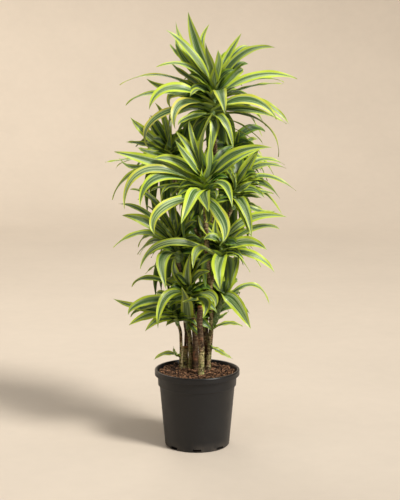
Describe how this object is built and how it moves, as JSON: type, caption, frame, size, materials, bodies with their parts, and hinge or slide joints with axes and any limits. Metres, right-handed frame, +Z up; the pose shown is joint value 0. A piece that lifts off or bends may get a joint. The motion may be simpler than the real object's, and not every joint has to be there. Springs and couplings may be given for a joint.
{
  "type": "potted dracaena",
  "caption": "Upright foliage plant with woody canes topped by crowns of long arching striped leaves, growing in bark compost in a round tapered nursery pot with a rolled rim.",
  "frame": {"origin": "middle of the flat underside of the pot", "axes": "+Z up along the pot's axis, -Y towards the front of the picture, +X to the right"},
  "size_m": [0.5994, 0.5316, 1.361],
  "materials": {
    "pot": "satin black moulded plastic",
    "soil": "loose moist bark chips",
    "bark": "rough bark with ringed leaf scars",
    "leaf": "waxy satin, green centre and yellow-green margins"
  },
  "bodies": {
    "root": {"pot": "pot", "soil": "soil", "cane_thin_left": "bark", "cane_stub_left": "bark", "cane_pale_left": "bark", "cane_back_left": "bark", "cane_middle": "bark", "cane_front": "bark", "cane_tall": "bark", "cane_right": "bark", "branch_left": "bark", "branch_upper_right": "bark", "branch_right": "bark", "branch_front_right": "bark", "branch_back": "bark", "crown_top": "leaf", "crown_centre": "leaf", "crown_right": "leaf", "crown_left": "leaf", "crown_upper_right": "leaf", "crown_front_right": "leaf", "crown_lower_left": "leaf", "crown_low_middle": "leaf", "crown_low_right": "leaf", "crown_pale_left": "leaf", "crown_thin_left": "leaf", "crown_back": "leaf", "shoot_left": "leaf", "shoot_right": "leaf", "shoot_low_right": "leaf"}
  },
  "joints": []
}
